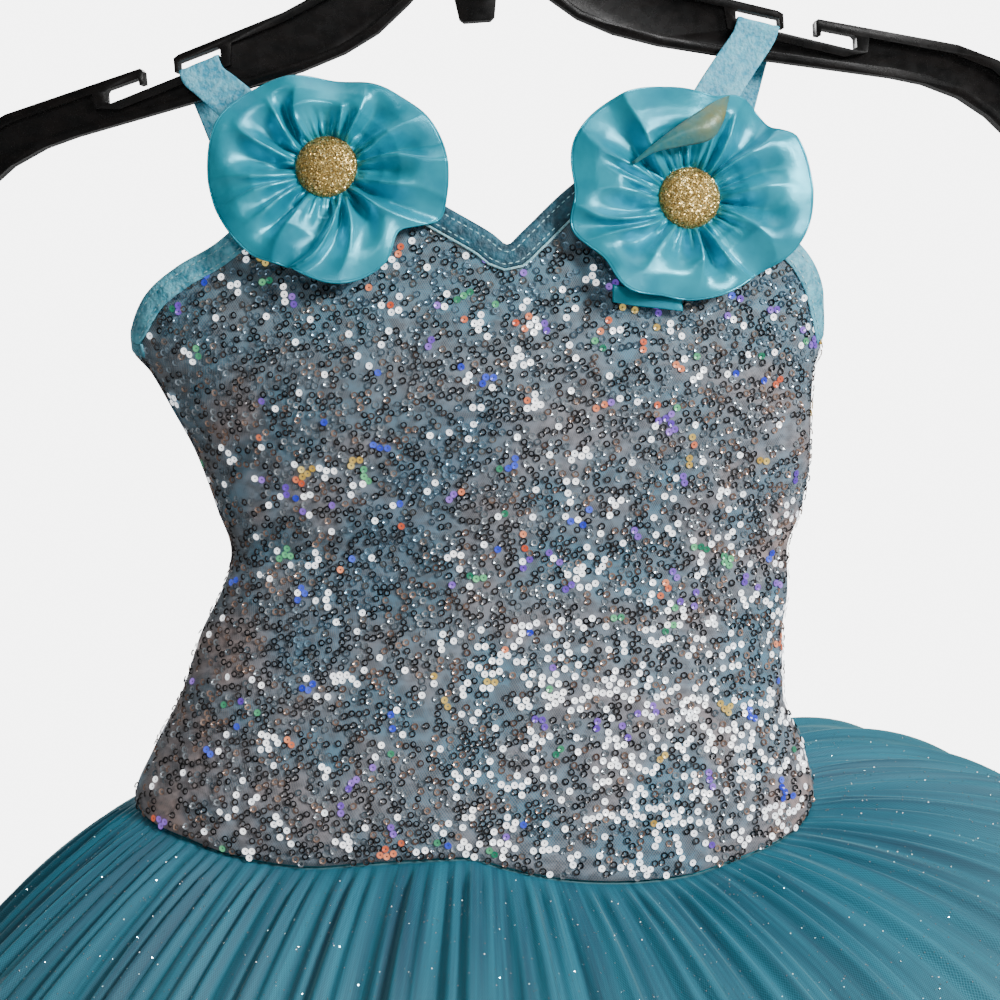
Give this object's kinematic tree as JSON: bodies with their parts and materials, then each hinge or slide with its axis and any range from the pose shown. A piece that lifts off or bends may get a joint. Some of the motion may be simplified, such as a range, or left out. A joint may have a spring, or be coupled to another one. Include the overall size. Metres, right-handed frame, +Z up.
{
  "type": "child's dance leotard on a hanger",
  "caption": "Child's dance leotard with a sequinned camisole bodice, satin rosettes at the straps and a gathered net skirt, hung on a notched plastic hanger.",
  "frame": {"origin": "inside top of the hanger's hook, where a rail carries it", "axes": "+Z up, the front of the garment faces -Y, +X towards the right of the picture"},
  "size_m": [0.6066, 0.4247, 0.6502],
  "materials": {
    "sequin_net": "clear ring sequins on aqua stretch cloth, glittering",
    "spandex": "shiny stretch cloth",
    "velour": "crushed velour",
    "satin": "satin",
    "gold": "glittered",
    "net": "fine net with glitter",
    "plastic": "moulded, glossy"
  },
  "bodies": {
    "root": {"bodice_front": "sequin_net", "bodice_back": "spandex", "brief": "spandex", "neck_binding_front": "velour", "neck_binding_back": "velour", "armhole_binding_left": "velour", "armhole_binding_right": "velour", "strap_left": "velour", "strap_right": "velour", "skirt_outer": "net", "skirt_middle": "net", "skirt_inner": "net", "rosette_left": "satin", "rosette_right": "satin", "button_left": "gold", "button_right": "gold", "hanger": "plastic", "hanger_hook": "plastic"}
  },
  "joints": []
}
